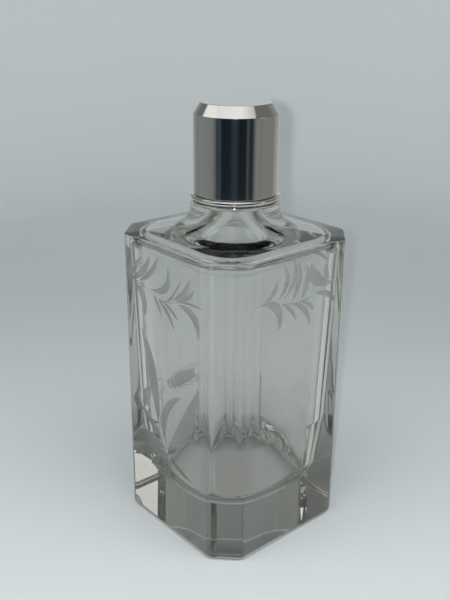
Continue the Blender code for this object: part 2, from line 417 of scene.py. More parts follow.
def polished_silver():
    finish = Finish("polished_silver")
    tone = metal_settings().silver
    haze = finish.noise(finish.place(), 90.0, 6.0)
    drawn = finish.noise(finish.place((1.0, 1.0, 0.12)), 700.0, 3.0)
    dents = finish.noise(finish.place((1.0, 1.0, 0.5)), 45.0, 1.0)
    return finish.surface(
        Base_Color=finish.mix(haze, opaque(tone), opaque(tone, 0.94)),
        Roughness=0.035 + haze * 0.05,
        Metallic=1.0,
        Normal=finish.bump(drawn * 0.12 + dents, FINE_RELIEF),
    )


def satin_gilt():
    finish = Finish("satin_gilt")
    tone = metal_settings().gilt
    wear = finish.noise(finish.place(), 220.0, 5.0)
    rings = finish.noise(finish.place((1.0, 1.0, 12.0)), 160.0, 2.0)
    return finish.surface(
        Base_Color=finish.mix(wear, opaque(tone), opaque(tone, 0.82)),
        Roughness=0.16 + wear * 0.16,
        Metallic=1.0,
        Normal=finish.bump(rings, FINE_RELIEF, 0.5),
    )


def pressed_cork():
    finish = Finish("pressed_cork")
    place = finish.place()
    grain = finish.cells(place, 420.0)
    pores = finish.noise(place, 900.0, 4.0) > 0.62
    return finish.surface(
        Base_Color=finish.mix(pores * 0.8, finish.ramp(grain, CORK_TONES), opaque(CORK_PORE_TONE)),
        Roughness=0.8 + grain * 0.2,
        Normal=finish.bump(grain - pores * 0.5, CORK_RELIEF, 0.7),
    )


def set_plaster():
    finish = Finish("set_plaster")
    crumbs = finish.noise(finish.place(), 1400.0, 5.0, 0.7)
    stain = finish.noise(finish.place(), 90.0, 3.0)
    return finish.surface(
        Base_Color=finish.mix(stain, *map(opaque, PLASTER_TONES)),
        Roughness=0.85 + crumbs * 0.1,
        Normal=finish.bump(crumbs, PLASTER_RELIEF, 0.8),
    )


# Mesh building

def rounded_corner(before, corner, after, rounding, steps):
    """Points of an arc that rounds a corner between two straight runs in a plane."""
    to_before = Vector(before) - Vector(corner)
    to_after = Vector(after) - Vector(corner)
    half = to_before.angle(to_after) / 2
    tangent = rounding / math.tan(half)
    middle = (to_before.normalized() + to_after.normalized()).normalized()
    centre = Vector(corner) + middle * (rounding / math.sin(half))
    start = Vector(corner) + to_before.normalized() * tangent - centre
    stop = Vector(corner) + to_after.normalized() * tangent - centre
    from_angle = math.atan2(start.y, start.x)
    sweep = math.remainder(math.atan2(stop.y, stop.x) - from_angle, math.tau)
    angles = [from_angle + sweep * step / steps for step in range(steps + 1)]
    return [(centre.x + rounding * math.cos(a), centre.y + rounding * math.sin(a)) for a in angles]


def rounded_profile(corners, closed=True):
    """Points through corners (radius, height, rounding, steps); an open one's ends only give direction."""
    points = []
    ends = 0 if closed else 1
    for index in range(ends, len(corners) - ends):
        radius, height, rounding, steps = corners[index]
        if not steps:
            points.append((radius, height))
            continue
        after = corners[(index + 1) % len(corners)]
        points += rounded_corner(corners[index - 1][:2], (radius, height), after[:2], rounding, steps)
    return points


def skin(bm, rings):
    """Skin rings of points in space, extruding each from the last, and return the first and last edges."""
    verts = bmesh.ops.create_circle(bm, segments=len(rings[0]), radius=1.0)["verts"]
    for vert, place in zip(verts, rings[0]):
        vert.co = place
    first = edges = list({edge for vert in verts for edge in vert.link_edges})
    for ring in rings[1:]:
        made = bmesh.ops.extrude_edge_only(bm, edges=edges)["geom"]
        edges = [item for item in made if isinstance(item, bmesh.types.BMEdge) and item.is_boundary]
        fresh = {item for item in made if isinstance(item, bmesh.types.BMVert)}
        verts = [
            next(other for other in (edge.other_vert(vert) for edge in vert.link_edges) if other in fresh)
            for vert in verts
        ]
        for vert, place in zip(verts, ring):
            vert.co = place
    return first, edges


def linked(name, data):
    """A new object in the scene."""
    made = bpy.data.objects.new(name, data)
    bpy.context.scene.collection.objects.link(made)
    return made


def mesh_object(name, bm, materials):
    mesh = bpy.data.meshes.new(name)
    bm.to_mesh(mesh)
    bm.free()
    for material in materials:
        mesh.materials.append(material)
    return linked(name, mesh)


def keep(piece, body, nodes, sharp=30.0):
    """Shade a finished piece, let it ride on a body and have it stand for its frame nodes."""
    piece.data.shade_smooth()
    piece.data.set_sharp_from_angle(angle=math.radians(sharp))
    modifier = piece.modifiers.new("Even shading", "WEIGHTED_NORMAL")
    modifier.mode = "FACE_AREA"
    modifier.weight = 100
    modifier.keep_sharp = True
    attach(piece, body)
    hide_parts(*nodes)
    return piece


def spin_about_axis(bm, geom, angle, steps):
    """Sweep an outline about the axis, joining the last step to the first after a full turn."""
    full = angle == math.tau
    bmesh.ops.spin(
        bm, geom=geom, cent=(0, 0, 0), axis=(0, 0, 1), angle=angle, steps=steps, use_merge=full
    )


def turned(corners, closed=True):
    """A ring turned about the axis, or a solid that meets it where the outline is open."""
    points = rounded_profile(corners, closed)
    bm = bmesh.new()
    verts = [bm.verts.new((radius, 0.0, height)) for radius, height in points]
    edges = [bm.edges.new(pair) for pair in zip(verts, verts[1:])]
    if closed:
        edges.append(bm.edges.new((verts[-1], verts[0])))
    spin_about_axis(bm, verts + edges, math.tau, TURN_STEPS)
    rims = [edge for edge in bm.edges if edge.is_boundary]
    if rims:
        bmesh.ops.holes_fill(bm, edges=rims, sides=TURN_STEPS)
    bmesh.ops.recalc_face_normals(bm, faces=bm.faces)
    return bm


# Bottle

SEAT_STEPS = 6


def body_outline(half, cant_half, rounding, arc_steps=5, flat_steps=22, cant_steps=6):
    """Points round the square outline with canted corners, the same number whatever its size."""
    reach = half * math.sqrt(2) - cant_half
    across = reach * math.sqrt(2) - half
    corners = []
    for side in range(SIDES):
        turn = Matrix.Rotation(QUARTER * side, 2)
        corners += [turn @ Vector((half, -across)), turn @ Vector((half, across))]
    points = []
    for index, corner in enumerate(corners):
        after = corners[(index + 1) % len(corners)]
        points += rounded_corner(corners[index - 1], corner, after, rounding, arc_steps)
        following = corners[(index + 2) % len(corners)]
        start = Vector(points[-1])
        stop = Vector(rounded_corner(corner, after, following, rounding, arc_steps)[0])
        steps = cant_steps if index % 2 else flat_steps
        points += [tuple(start.lerp(stop, step / steps)) for step in range(1, steps)]
    return points


def rounded_square(direction, half, rounding):
    """Distance from the axis to a square outline with rounded corners, in a direction."""
    long, short = sorted((abs(direction.x), abs(direction.y)), reverse=True)
    flat = half / long
    straight = half - rounding
    if flat * short <= straight:
        return flat
    ahead = straight * (long + short)
    return ahead + math.sqrt(ahead * ahead - 2 * straight * straight + rounding * rounding)


def neck_radius():
    """Outside of the glass above the ledge, inside the plaster."""
    return frame_radius("neck_cement") - bottle_settings().cement_wall - FIT


def mouth_radius():
    return neck_radius() - bottle_settings().neck_wall


def outside_profile(radius):
    """Outside of the bottle in one half plane, from its underside to the lip."""
    bottle = bottle_settings()
    neck = frame_radius("collar_bead")
    lip = frame_top("glass_body")
    return rounded_profile(
        [
            (0, 0, 0, 0),
            (radius, 0, bottle.heel_round, 8),
            (radius, bottle.edge_height, bottle.edge_round, 8),
            (neck, bottle.edge_height + bottle.shoulder_rise, bottle.flare_round, 20),
            (neck, bottle.ledge_height, FIT, 3),
            (neck_radius() + bottle.cement_wall, bottle.ledge_height, 0, 0),
            (neck_radius(), bottle.ledge_height, 0, 0),
            (neck_radius(), lip, FIT, 3),
            (mouth_radius(), lip, FIT, 3),
            (bottle.bore_radius, lip - bottle.seat_length, 0, 0),
        ],
        closed=False,
    )


def inside_profile(radius, foot, floor):
    """Mouth, seat, throat and cavity in one half plane, down to the cavity's floor."""
    bottle = bottle_settings()
    bore, mouth = bottle.bore_radius, mouth_radius()
    lip = frame_top("glass_body")
    shares = [step / SEAT_STEPS for step in range(1, SEAT_STEPS)]
    seat = [(mouth + (bore - mouth) * share, lip - bottle.seat_length * share) for share in shares]
    cavity = rounded_profile(
        [
            (bore, lip, 0, 0),
            (bore, lip - bottle.seat_length, 0, 0),
            (bore, bottle.ceiling_height, bottle.throat_round, 18),
            (radius, bottle.ceiling_height, bottle.ceiling_round, 12),
            (foot, bottle.base_thickness + bottle.floor_rise, bottle.floor_rise / 3, 8),
            (floor, bottle.base_thickness, bottle.floor_round, 16),
            (0, bottle.base_thickness, 0, 0),
        ],
        closed=False,
    )
    return seat + cavity


def bottle_mesh():
    """Thick-based square bottle, open at the mouth, skinned outside and inside from half-plane outlines."""
    bottle = bottle_settings()
    half = frame_radius("glass_body")
    inner_half = half - bottle.wall_top
    foot_half = half - bottle.wall_foot
    outer = [Vector(point) for point in body_outline(half, bottle.cant_width / 2, bottle.cant_round)]
    outside = [outside_profile(point.length) for point in outer]
    inner = [point.normalized() for point in outer]
    inside = [
        inside_profile(
            rounded_square(way, inner_half, bottle.cavity_corner),
            rounded_square(way, foot_half, bottle.cavity_corner),
            rounded_square(way, foot_half, bottle.floor_corner),
        )
        for way in inner
    ]

    def rings(columns):
        return [
            [(radius * way.x, radius * way.y, height) for way, (radius, height) in zip(inner, station)]
            for station in zip(*columns)
        ]

    bm = bmesh.new()
    foot, rim = skin(bm, rings(outside))
    throat, floor = skin(bm, rings(inside))
    bmesh.ops.holes_fill(bm, edges=foot, sides=0)
    bmesh.ops.holes_fill(bm, edges=floor, sides=0)
    bmesh.ops.bridge_loops(bm, edges=rim + throat)
    bmesh.ops.recalc_face_normals(bm, faces=bm.faces)
    finish_neck(bm)
    return bm


def finish_neck(bm):
    """Mat the stopper's seat and give the cemented faces the second material."""
    bottle = bottle_settings()
    lip = frame_top("glass_body")
    seat_foot, seat_top = lip - bottle.seat_length, lip - FIT
    inside = mouth_radius() + FIT
    outside = neck_radius() + bottle.cement_wall
    mark_matting(bm, lambda place: place.xy.length < inside and seat_foot < place.z < seat_top)
    for face in bm.faces:
        place = face.calc_center_median()
        if inside < place.xy.length < outside and bottle.ledge_height - FIT < place.z < seat_top:
            face.material_index = 1


def mark_matting(bm, is_matt):
    """Note on each face whether the glass is matt there."""
    layer = bm.faces.layers.float.new(MATTING)
    for face in bm.faces:
        face[layer] = float(is_matt(face.calc_center_median()))


# Engraving

# Each cut runs from its foot past a bend to its tip, in millimetres across a side and up from the underside,
# and a leaf is as broad as its last number says
SPRAY_LEAVES = [
    ((-27.0, 128.0), (-22.0, 134.0), (-17.0, 140.5), 3.2),
    ((-26.0, 127.8), (-14.0, 131.5), (-10.0, 143.0), 4.6),
    ((-20.0, 127.6), (-8.0, 133.0), (-3.0, 144.5), 3.4),
    ((-11.0, 125.8), (7.0, 127.0), (2.5, 140.5), 4.6),
    ((1.0, 123.4), (8.5, 128.0), (13.0, 137.5), 1.6),
    ((7.0, 126.0), (15.5, 129.5), (19.2, 139.5), 3.0),
    ((8.0, 125.6), (17.0, 128.0), (22.2, 134.8), 3.2),
    ((9.0, 125.2), (19.0, 128.4), (27.5, 127.0), 1.3),
    ((10.0, 124.4), (24.5, 125.5), (24.6, 112.0), 5.2),
    ((-9.0, 124.0), (-4.5, 121.0), (-2.0, 114.2), 2.0),
    ((-5.0, 122.6), (3.5, 119.5), (7.0, 110.8), 2.8),
    ((-1.0, 122.4), (5.0, 121.5), (9.6, 116.8), 2.2),
    ((-23.0, 126.6), (-14.0, 122.5), (-15.4, 110.8), 5.4),
]
SPRAY_STEMS = [
    ((-29.0, 127.3), (-19.0, 128.2), (-9.0, 124.0)),
    ((-9.0, 124.0), (-1.0, 121.0), (9.0, 125.2)),
    ((-6.0, 122.2), (6.0, 123.0), (12.0, 131.0)),
]

RETURN_LEAVES = [
    ((-22.0, 128.6), (-8.0, 128.0), (-10.6, 113.8), 5.4),
    ((-11.0, 127.0), (-2.5, 123.5), (-0.2, 115.8), 2.6),
    ((-3.0, 124.6), (7.0, 122.0), (9.0, 111.6), 3.6),
    ((2.0, 124.4), (7.5, 123.5), (11.6, 118.0), 2.4),
    ((-20.0, 129.2), (-14.0, 130.5), (-12.2, 138.2), 2.6),
    ((-12.0, 128.6), (-2.0, 136.0), (-9.8, 144.6), 3.4),
    ((-8.0, 128.0), (2.0, 137.0), (-3.0, 146.0), 3.2),
    ((22.0, 129.8), (8.0, 131.0), (8.6, 142.0), 7.5),
    ((21.0, 131.0), (16.0, 136.0), (19.6, 139.0), 4.5),
    ((2.0, 146.4), (14.0, 147.0), (20.4, 139.0), 2.0),
    ((12.0, 125.8), (20.0, 126.5), (25.5, 119.0), 3.6),
    ((-3.0, 125.6), (2.5, 134.0), (0.6, 143.6), 4.0),
    ((2.5, 125.2), (7.6, 132.0), (5.6, 141.4), 4.2),
]
RETURN_STEMS = [
    ((-27.0, 127.0), (-21.0, 130.5), (-11.0, 127.0)),
    ((-11.0, 127.0), (2.0, 122.5), (12.0, 126.2)),
    ((12.0, 126.2), (18.0, 129.0), (28.5, 130.0)),
]

PLANT_LEAVES = [
    ((-6.8, 58.0), (-9.0, 84.0), (-18.4, 104.9), 8.8),
    ((-1.0, 48.0), (-7.0, 69.0), (12.0, 79.2), 5.4),
    ((0.0, 45.6), (15.0, 60.0), (24.2, 88.8), 10.5),
    ((-18.5, 61.0), (-16.5, 71.0), (-12.3, 76.0), 6.6),
    ((-17.5, 61.0), (-26.5, 60.5), (-24.0, 69.0), 7.0),
    ((-3.0, 48.0), (-12.0, 57.0), (-20.5, 62.5), 4.8),
    ((-1.0, 45.5), (-18.0, 51.0), (-29.5, 38.0), 9.0),
    ((-2.0, 44.0), (-16.0, 42.0), (-28.0, 31.0), 7.0),
    ((0.0, 44.0), (-8.0, 40.0), (-14.0, 31.5), 3.6),
    ((1.0, 44.0), (9.0, 38.0), (19.0, 37.0), 3.0),
    ((-1.0, 43.0), (-2.0, 38.0), (5.0, 32.5), 2.4),
]
PLANT_STEMS = [
    ((-3.3, 46.0), (-5.8, 53.0), (-6.8, 60.5)),
    ((-2.0, 46.5), (-7.0, 64.0), (-5.8, 71.5)),
    ((-5.8, 71.5), (-4.0, 78.0), (1.0, 82.0)),
    ((-3.8, 62.0), (-3.6, 74.0), (-3.0, 83.0)),
    ((-3.0, 83.0), (-4.5, 82.8), (-6.4, 81.2)),
]

# The ear of wheat, in millimetres too; its grains are longest halfway and lean out less towards the tip
EAR_FOOT = (1.5, 82.0)
EAR_TIP = (19.5, 94.6)
EAR_BREADTH = 4.4
GRAIN_ROWS = 9
GRAIN_LENGTH = 5.4
GRAIN_BREADTH = 2.1
GRAIN_BELLY = 0.6
GRAIN_LEAN_DEG = 38.0
AWN_LENGTH = 6.5
AWN_LEAN_DEG = 18.0
SHORT_GRAIN_SHARE = 0.45
FIRST_GRAIN_SHARE = 0.1
TIP_LEAN_SHARE = 0.6

# Depths as shares of the broadest leaf's, and for the ear's parts as shares of the ear's
STEM_DEPTH_SHARE = 0.5
EAR_DEPTH_SHARE = 0.8
EAR_BODY_DEPTH_SHARE = 0.7
AWN_DEPTH_SHARE = 1 / 3

# Section of a cutter, as shares of half its breadth and of its depth, and how fast it widens from its ends
SECTION_SHARES = [(-1.0, -0.5), (-0.55, 0.75), (0.0, 1.0), (0.55, 0.75), (1.0, -0.5)]
WIDENING_POWER = 0.75


def groove(bm, turn, foot, bend, tip, breadth, depth, ends=0.06, steps=12):
    """One lens-shaped cutter along a curve on a side, deepest along its middle."""
    foot, bend, tip = (Vector(place) * MM for place in (foot, bend, tip))
    half = frame_radius("glass_body")
    rings = []
    for step in range(steps + 1):
        share = step / steps
        middle = foot.lerp(bend, share).lerp(bend.lerp(tip, share), share)
        along = (bend - foot).lerp(tip - bend, share).normalized()
        across = Vector((-along.y, along.x))
        fullness = max(math.sin(math.pi * share) ** WIDENING_POWER, ends)
        ring = []
        for across_share, depth_share in SECTION_SHARES:
            spot = middle + across * (breadth / 2 * MM * fullness * across_share)
            sink = depth_share * depth * (fullness if depth_share > 0 else 1.0)
            ring.append(turn @ Vector((spot.x, sink - half, spot.y)))
        rings.append(ring)
    for rim in skin(bm, rings):
        bmesh.ops.holes_fill(bm, edges=rim, sides=0)


def ear(bm, turn, depth, awn):
    """Ear of wheat: grains in a herringbone with a bristle on each."""
    foot, tip = Vector(EAR_FOOT), Vector(EAR_TIP)
    along = (tip - foot).normalized()
    groove(bm, turn, foot, (foot + tip) / 2, tip, EAR_BREADTH, depth * EAR_BODY_DEPTH_SHARE)
    for row in range(GRAIN_ROWS):
        share = row / (GRAIN_ROWS - 1)
        root = foot.lerp(tip, share)
        swell = math.sin(math.pi * (FIRST_GRAIN_SHARE + (1 - 2 * FIRST_GRAIN_SHARE) * share))
        reach = GRAIN_LENGTH * (SHORT_GRAIN_SHARE + (1 - SHORT_GRAIN_SHARE) * swell)
        lean = GRAIN_LEAN_DEG * (1 - (1 - TIP_LEAN_SHARE) * share)
        for side in (-1, 1):
            aim = Matrix.Rotation(math.radians(side * lean), 2) @ along
            end = root + aim * reach
            belly = (root + end) / 2 + Vector((-aim.y, aim.x)) * (side * GRAIN_BELLY)
            groove(bm, turn, root, belly, end, GRAIN_BREADTH, depth, steps=8)
            drift = Matrix.Rotation(math.radians(side * AWN_LEAN_DEG), 2) @ along
            bristle = end + drift * AWN_LENGTH
            middle = (end + bristle) / 2
            groove(bm, turn, end, middle, bristle, awn / MM, depth * AWN_DEPTH_SHARE, ends=0.4, steps=4)


def engraving_mesh():
    """Cutters of every cut on the two engraved sides."""
    engraving = bpy.context.scene.decanter_engraving
    bm = bmesh.new()
    left = Matrix.Identity(4)
    right = Matrix.Rotation(QUARTER, 4, "Z")
    for turn, leaves, stems in (
        (left, SPRAY_LEAVES + PLANT_LEAVES, SPRAY_STEMS + PLANT_STEMS),
        (right, RETURN_LEAVES, RETURN_STEMS),
    ):
        for leaf in leaves:
            groove(bm, turn, *leaf, engraving.depth)
        for stem in stems:
            groove(bm, turn, *stem, engraving.stem / MM, engraving.depth * STEM_DEPTH_SHARE, ends=0.5)
    ear(bm, left, engraving.depth * EAR_DEPTH_SHARE, engraving.awn)
    bmesh.ops.recalc_face_normals(bm, faces=bm.faces)
    mark_matting(bm, lambda place: True)
    return bm


def cut_away(piece, cutter):
    """Cut one mesh out of another."""
    modifier = piece.modifiers.new("Cuts", "BOOLEAN")
    modifier.operation = "DIFFERENCE"
    modifier.solver = "EXACT"
    modifier.use_self = True
    modifier.object = cutter
    depsgraph = bpy.context.evaluated_depsgraph_get()
    cut = bpy.data.meshes.new_from_object(piece.evaluated_get(depsgraph))
    piece.modifiers.remove(modifier)
    piece.data = cut
    bpy.data.objects.remove(cutter)


def crisp_rims(mesh):
    """Mark the edges where matt and polished glass meet as sharp."""
    bm = bmesh.new()
    bm.from_mesh(mesh)
    layer = bm.faces.layers.float[MATTING]
    for edge in bm.edges:
        if len({face[layer] for face in edge.link_faces}) > 1:
            edge.smooth = False
    bm.to_mesh(mesh)
    bm.free()


class DECANTER_OT_bottle(bpy.types.Operator):
    """Make the glass bottle with its cavity, ground seat and engraved sprays"""

    bl_idname = "decanter.bottle"
    bl_label = "Glass bottle"

    def execute(self, context):
        finishes = [bottle_glass("bottle_glass"), cemented_glass()]
        piece = mesh_object("engraved_bottle", bottle_mesh(), finishes)
        cut_away(piece, mesh_object("engraving_cutter", engraving_mesh(), []))
        keep(piece, "root", ["glass_body"], sharp=40.0)
        crisp_rims(piece.data)
        return {"FINISHED"}


# Silver, plaster, stopper and cork

# Roundings: the edges of the collar and the sleeve, and the cap's rim, as shares of the sheet's thickness,
# round the cap's disc as a share of the rounding of its edges, the bead as a share of its height, and the
# knob's foot as a share of the knob's edges
EDGE_ROUND_SHARE = 0.4
RIM_ROUND_SHARE = 0.3
DISC_ROUND_SHARE = 0.7
BEAD_ROUND_SHARE = 0.49
KNOB_FOOT_ROUND_SHARE = 0.4


def collar_mesh():
    """Silver tube round the neck, turned in over the lip and out over the ledge."""
    metal = metal_settings()
    wall = metal.collar_wall
    edge = wall * EDGE_ROUND_SHARE
    foot, top = frame_foot("neck_collar"), frame_top("neck_collar")
    flange = frame_radius("neck_collar")
    outside = frame_radius("neck_cement") + FIT + wall
    inside = outside - wall
    lip = neck_radius() - metal.collar_lip
    return turned(
        [
            (lip, top, edge, 4),
            (outside, top, wall, 6),
            (outside, foot + wall, 0, 0),
            (flange, foot + wall, edge, 4),
            (flange, foot, edge, 4),
            (inside, foot, 0, 0),
            (inside, top - wall, 0, 0),
            (lip, top - wall, edge, 4),
        ]
    )


def bead_mesh():
    inside = frame_radius("neck_cement") + 2 * FIT + metal_settings().collar_wall
    outside = frame_radius("collar_bead")
    foot, top = frame_foot("collar_bead"), frame_top("collar_bead")
    rounding = (top - foot) * BEAD_ROUND_SHARE
    return turned(
        [
            (inside, top, 0, 0),
            (outside, top, rounding, 10),
            (outside, foot, rounding, 10),
            (inside, foot, 0, 0),
        ]
    )


def sleeve_shaped(node, inside, outside, rounding, steps):
    """Plain tube as tall as a frame node, with all its edges rounded."""
    foot, top = frame_foot(node), frame_top(node)
    corners = [(outside, top), (outside, foot), (inside, foot), (inside, top)]
    return turned([(*corner, rounding, steps) for corner in corners])


class DECANTER_OT_collar(bpy.types.Operator):
    """Make the silver collar, its bead and the plaster that holds them"""

    bl_idname = "decanter.collar"
    bl_label = "Collar"

    def execute(self, context):
        silver = polished_silver()
        collar = mesh_object("silver_collar", collar_mesh(), [silver])
        keep(collar, "root", ["neck_collar"])
        bead = mesh_object("silver_bead", bead_mesh(), [silver])
        keep(bead, "root", ["collar_bead"])
        ring = sleeve_shaped("neck_cement", neck_radius() + FIT, frame_radius("neck_cement"), FIT / 2, 3)
        plaster = mesh_object("plaster_ring", ring, [set_plaster()])
        keep(plaster, "root", ["neck_cement"])
        return {"FINISHED"}


class DECANTER_OT_stopper(bpy.types.Operator):
    """Make the glass stopper with its ground plug and polished knob"""

    bl_idname = "decanter.stopper"
    bl_label = "Stopper"

    def execute(self, context):
        stopper = context.scene.decanter_stopper
        foot, top = frame_foot("glass_stopper"), frame_top("glass_stopper")
        lip = frame_top("glass_body")
        knob = frame_radius("glass_stopper")
        knob_foot = frame_top("neck_collar") + stopper.knob_gap
        plug_top = mouth_radius() - FIT
        plug_foot = bottle_settings().bore_radius - FIT
        bm = turned(
            [
                (0, foot, 0, 0),
                (plug_foot, foot, stopper.plug_round, 5),
                (plug_top, lip, stopper.plug_round / 2, 3),
                (plug_top - stopper.waist, (lip + knob_foot) / 2, stopper.waist / 2, 4),
                (plug_top, knob_foot, stopper.knob_round * KNOB_FOOT_ROUND_SHARE, 6),
                (knob, knob_foot, stopper.knob_round, 10),
                (knob, top, stopper.knob_round, 10),
                (0, top, 0, 0),
            ],
            closed=False,
        )
        mark_matting(bm, lambda place: foot + stopper.plug_round < place.z < lip)
        glass = bottle_glass("stopper_glass")
        keep(mesh_object("ground_stopper", bm, [glass]), "stopper", ["glass_stopper"])
        return {"FINISHED"}


class DECANTER_OT_cap(bpy.types.Operator):
    """Make the silver cap, its gilt sleeve and the cork in its crown"""

    bl_idname = "decanter.cap"
    bl_label = "Cap"

    def execute(self, context):
        metal = metal_settings()
        wall = metal.cap_wall
        outside = frame_radius("cap_wall")
        foot, top = frame_foot("cap_wall"), frame_top("cap_crown")
        chamfer_foot = frame_foot("cap_crown")
        flat = outside - metal.chamfer_width
        shell = turned(
            [
                (0, top, 0, 0),
                (flat, top, metal.edge_round * DISC_ROUND_SHARE, 5),
                (outside, chamfer_foot, metal.edge_round, 5),
                (outside, foot, wall * RIM_ROUND_SHARE, 4),
                (outside - wall, foot, wall * RIM_ROUND_SHARE, 4),
                (outside - wall, chamfer_foot, 0, 0),
                (flat - wall / 2, top - wall, 0, 0),
                (0, top - wall, 0, 0),
            ],
            closed=False,
        )
        piece = mesh_object("silver_cap", shell, [polished_silver()])
        keep(piece, "cap", ["cap_wall", "cap_crown"])
        self.make_sleeve(outside - wall - FIT, metal.sleeve_wall)
        self.make_cork()
        return {"FINISHED"}

    def make_sleeve(self, outside, wall):
        bm = sleeve_shaped("cap_sleeve", outside - wall, outside, wall * EDGE_ROUND_SHARE, 4)
        keep(mesh_object("gilt_sleeve", bm, [satin_gilt()]), "cap", ["cap_sleeve"])

    def make_cork(self):
        outside = frame_radius("cap_cork")
        foot, top = frame_foot("cap_cork"), frame_top("cap_cork")
        bm = turned(
            [(0, top, 0, 0), (outside, top, FIT, 4), (outside, foot, FIT, 4), (0, foot, 0, 0)], closed=False
        )
        keep(mesh_object("cork_disc", bm, [pressed_cork()]), "cap", ["cap_cork"])


# Stage

# What polished surfaces mirror round the camera, a dark room in front and pale walls at the sides: levels by
# degrees from the camera's own direction
SURROUND = [
    (-160, 0.348), (-140, 0.278), (-130, 0.191), (-100, 0.209), (-66, 0.180), (-57, 0.128), (-51, 0.046),
    (-42, 0.058), (-36, 0.014), (-16, 0.016), (-6, 0.037), (2, 0.035), (10, 0.012), (26, 0.016), (32, 0.070),
    (37, 0.023), (45, 0.035), (52, 0.151), (58, 0.203), (66, 0.174), (84, 0.197), (116, 0.191), (130, 0.290),
    (160, 0.394),
]

# Hues of the walls and of the room, which is what is darker than the level
WALL_TONE = (0.97, 1.03, 0.98)
ROOM_TONE = (0.66, 0.95, 1.25)
ROOM_LEVEL = 0.06

# How the surround darkens with height, in metres
SURROUND_GREYS = [(0.25, 1.0), (0.36, 0.75)]

# White patches on it, a small one on the right and a broad one high on the left, by share of a turn from
# behind the decanter and by height in metres
PATCHES = [
    (
        [(0.685, 0.0), (0.69, 1.0), (0.73, 1.0), (0.735, 0.0)],
        [(0.34, 0.0), (0.35, 1.0), (0.52, 1.0), (0.53, 0.0)],
    ),
    ([(0.18, 0.0), (0.20, 1.0), (0.34, 1.0), (0.35, 0.0)], [(0.52, 0.0), (0.58, 0.84)]),
]
WHITE = (1.0, 1.0, 1.0)

# How light the card under the ceiling light is, from its left end to its right
CEILING_GREYS = [(0.0, 0.9), (0.62, 1.0), (1.0, 0.6)]

# Tones of the paper's grain, and the painted shade that greys the paper along the line from the camera, in
# metres beyond the axis, and by share of its height
PAPER_TONES = [(0.74, 0.78, 0.79), (0.76, 0.80, 0.81)]
PAINTED_PAPER_SHADE = [
    (-0.1, 1.0), (0.0, 0.92), (0.1, 0.85), (0.21, 0.79), (0.30, 0.79), (0.41, 0.84), (0.56, 0.94), (0.7, 0.94)
]
PAINTED_WALL_SHADE = [(0.38, 1.0), (0.50, 0.56)]

# The painted light under the glass by share of its radius, and how much faster the painted shadow fades
# across than along
POOL_GREYS = [(0.6, 1.0), (1.0, 0.0)]
SHADE_NARROWNESS = 3.0

SURROUND_STEPS = 64
BACKDROP_STEPS = 96
MERGE_GAP = 0.1 * MM
NEAREST_VIEW = 0.01
BOUNCES = 64


def stage_piece(name, bm, material):
    bmesh.ops.recalc_face_normals(bm, faces=bm.faces)
    piece = mesh_object(name, bm, [material])
    piece.data.shade_smooth()
    return piece


def backdrop_material(look):
    """Paper with painted shade towards its bend, its top and behind the decanter, and a faint painted glow
    under it.
    """
    finish = Finish("backdrop_paper")
    grain = finish.noise(finish.place(), 300.0, 3.0)
    across, ahead, height = finish.parts(finish.place(turn=-look.camera_azimuth))
    near, far = PAINTED_PAPER_SHADE[0][0], PAINTED_PAPER_SHADE[-1][0]
    stops = [((place - near) / (far - near), level) for place, level in PAINTED_PAPER_SHADE]
    # Painted shade: the paper greys along the line from the camera and towards the top of its wall
    paper = finish.ramp((ahead - near) / (far - near), greys(stops))
    upper = finish.ramp(height / look.backdrop_height, greys(PAINTED_WALL_SHADE))
    # Painted shadow: a soft dark patch on the floor just behind the decanter
    beyond = ahead - look.shade_distance
    spread = (across * across * SHADE_NARROWNESS + beyond * beyond) / look.shade_radius ** 2
    shade = look.shade_depth / (spread + 1.0) ** 2.0
    # Painted light: the paper under the decanter glows
    radius = (across * across + ahead * ahead) ** 0.5
    pool = finish.ramp(radius / look.pool_radius, greys(POOL_GREYS))
    white = finish.mix(grain, *map(opaque, PAPER_TONES))
    tone = finish.multiply(finish.multiply(white, paper), upper)
    return finish.surface(
        Base_Color=finish.multiply(tone, finish.grey(1.0 - shade)),
        Roughness=0.9,
        Emission_Color=pool,
        Emission_Strength=look.pool_glow,
    )


def make_backdrop(look):
    """Round floor that sweeps up into a wall on every side."""
    radius, height = look.backdrop_radius, look.backdrop_height
    points = [(0, 0)] + rounded_profile(
        [(0, 0, 0, 0), (radius, 0, look.backdrop_sweep, 16), (radius, height, 0, 0)], closed=False
    )
    bm = bmesh.new()
    verts = [bm.verts.new((x, 0, z)) for x, z in points + [(radius, height)]]
    edges = [bm.edges.new(pair) for pair in zip(verts, verts[1:])]
    spin_about_axis(bm, verts + edges, math.tau, BACKDROP_STEPS)
    bmesh.ops.remove_doubles(bm, verts=bm.verts, dist=MERGE_GAP)
    backdrop = stage_piece("backdrop", bm, backdrop_material(look))
    backdrop.location.z = -look.floor_gap


def only_mirrored(card):
    """Hide a card from the camera and from matt surfaces, and let it cast no shadow."""
    card.visible_camera = False
    card.visible_diffuse = False
    card.visible_shadow = False


def card_height(look):
    return look.ceiling_height - look.card_margin


def surround_material(azimuth):
    """Levels by the angle from the camera's direction, with soft borders and white patches."""
    finish = Finish("surround_greys")
    across, ahead, height = finish.parts(finish.place(turn=-azimuth))
    turned_by = across.angle_to(ahead * -1.0)
    bearing = turned_by / math.tau + 0.5
    stops = []
    for angle, level in SURROUND:
        hue = ROOM_TONE if level < ROOM_LEVEL else WALL_TONE
        stops.append(((angle + 180) / 360, tuple(level * part for part in hue)))
    glow = finish.multiply(finish.ramp(bearing, stops), finish.ramp(height, greys(SURROUND_GREYS)))
    for around, upwards in PATCHES:
        patch = finish.multiply(finish.ramp(bearing, greys(around)), finish.ramp(height, greys(upwards)))
        glow = finish.mix(patch, glow, opaque(WHITE))
    return finish.glow(glow)


